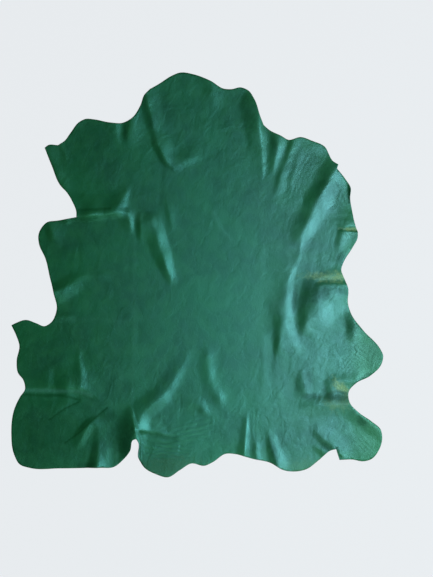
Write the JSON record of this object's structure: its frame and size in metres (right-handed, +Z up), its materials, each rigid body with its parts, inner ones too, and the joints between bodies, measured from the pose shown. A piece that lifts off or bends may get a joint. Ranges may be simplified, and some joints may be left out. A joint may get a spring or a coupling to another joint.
{
  "type": "leather hide",
  "caption": "Whole dyed leather hide spread flat, with a lobed natural outline, pleats and tucks at its rim and soft folds inside.",
  "frame": {"origin": "on the surface that the hide lies on, in the middle of its bounding box seen from above", "axes": "+Z up out of the grain side, +Y along the backbone towards the neck, +X to the right of the hide seen from above"},
  "size_m": [0.836, 0.9104, 0.0129],
  "materials": {
    "green_leather": "dyed smooth grain, soft semi-gloss, with olive wear marks at the right rim"
  },
  "bodies": {
    "root": {"hide": "green_leather"}
  },
  "joints": []
}
